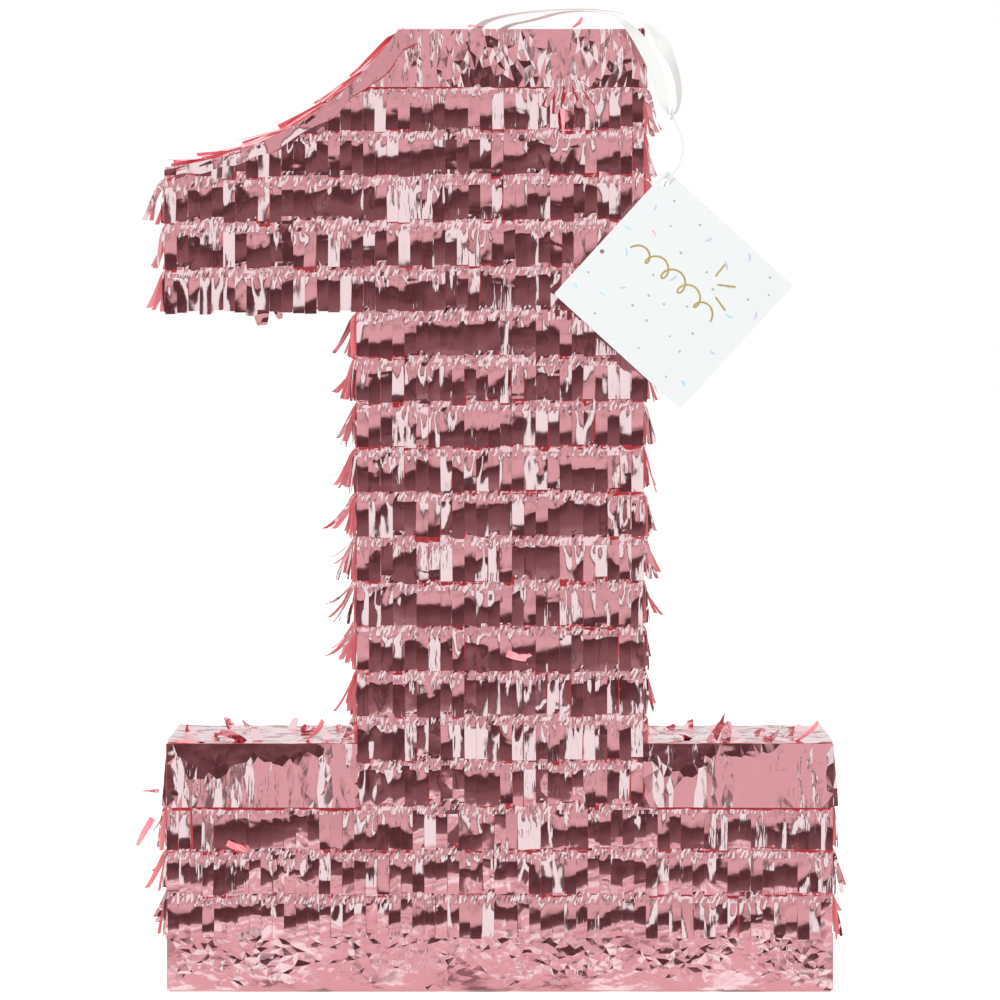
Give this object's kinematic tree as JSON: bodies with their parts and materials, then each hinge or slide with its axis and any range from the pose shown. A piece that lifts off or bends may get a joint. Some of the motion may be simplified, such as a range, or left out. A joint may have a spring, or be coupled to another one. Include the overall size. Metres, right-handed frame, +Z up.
{
  "type": "number pinata",
  "caption": "Free-standing cardboard pinata in the shape of the number one, covered in rows of slit metallic foil, with a fill flap behind, a hanging ribbon and a folded tag.",
  "frame": {"origin": "under the middle of the foot, on the surface that the pinata stands on", "axes": "+Z up, the front faces -Y, +X to the right as seen from the front"},
  "size_m": [0.295, 0.0926, 0.4301],
  "materials": {
    "carcass_board": "matte",
    "edge_tape": "matte",
    "pink_foil": "polished",
    "stick_wood": "satin",
    "ribbon_satin": "satin",
    "thread_white": "satin",
    "tag_card": "matte"
  },
  "bodies": {
    "shell": {"front_panel": "carcass_board", "back_panel": "carcass_board", "top_wall": "carcass_board", "slope_wall": "carcass_board", "arm_end_wall": "carcass_board", "arm_under_wall": "carcass_board", "stem_left_wall": "carcass_board", "left_shoulder_wall": "carcass_board", "base_left_wall": "carcass_board", "base_floor": "carcass_board", "base_right_wall": "carcass_board", "right_shoulder_wall": "carcass_board", "stem_right_wall": "carcass_board", "front_edge_tape": "edge_tape", "back_edge_tape": "edge_tape", "top_band": "pink_foil", "fringe_row_01": "pink_foil", "fringe_row_02": "pink_foil", "fringe_row_03": "pink_foil", "fringe_row_04": "pink_foil", "fringe_row_05": "pink_foil", "fringe_row_06": "pink_foil", "fringe_row_07": "pink_foil", "fringe_row_08": "pink_foil", "fringe_row_09": "pink_foil", "fringe_row_10": "pink_foil", "fringe_row_11": "pink_foil", "fringe_row_12": "pink_foil", "fringe_row_13": "pink_foil", "fringe_row_14": "pink_foil", "fringe_row_15": "pink_foil", "fringe_row_16": "pink_foil", "fringe_row_17": "pink_foil", "fringe_row_18": "pink_foil", "fringe_row_19": "pink_foil", "bottom_wrap": "pink_foil", "bottom_foil": "pink_foil", "left_shoulder_foil": "pink_foil", "right_shoulder_foil": "pink_foil", "arm_underside_foil": "pink_foil", "slope_fringe": "pink_foil", "anchor_card": "carcass_board", "anchor_stick": "stick_wood", "ribbon_knot": "ribbon_satin", "hanging_ribbon": "ribbon_satin"},
    "fill_door": {"door_panel": "carcass_board", "door_fringe": "pink_foil"},
    "tag_loop": {"tag_thread": "thread_white"},
    "tag": {"tag_back_leaf": "tag_card"},
    "tag_cover": {"tag_front_leaf": "tag_card"}
  },
  "joints": [
    {"name": "fill_door_fold", "type": "hinge", "parent": "shell", "child": "fill_door", "pos_m": [-0.04, 0.0375, 0.2391], "axis": [0, 0, 1], "range_deg": [0, 100]},
    {"name": "tag_side_swing", "type": "hinge", "parent": "shell", "child": "tag_loop", "pos_m": [0.0741, -0.0496, 0.3822], "axis": [0, 1, 0], "range_deg": [-25, 25]},
    {"name": "tag_lift", "type": "hinge", "parent": "tag_loop", "child": "tag", "pos_m": [0.0711, -0.0496, 0.35275], "axis": [-1, 0, 0], "range_deg": [0, 50]},
    {"name": "tag_cover_open", "type": "hinge", "parent": "tag", "child": "tag_cover", "pos_m": [0.04728, -0.0496, 0.33185], "axis": [-0.6743, 0, -0.7385], "range_deg": [0, 125]}
  ]
}
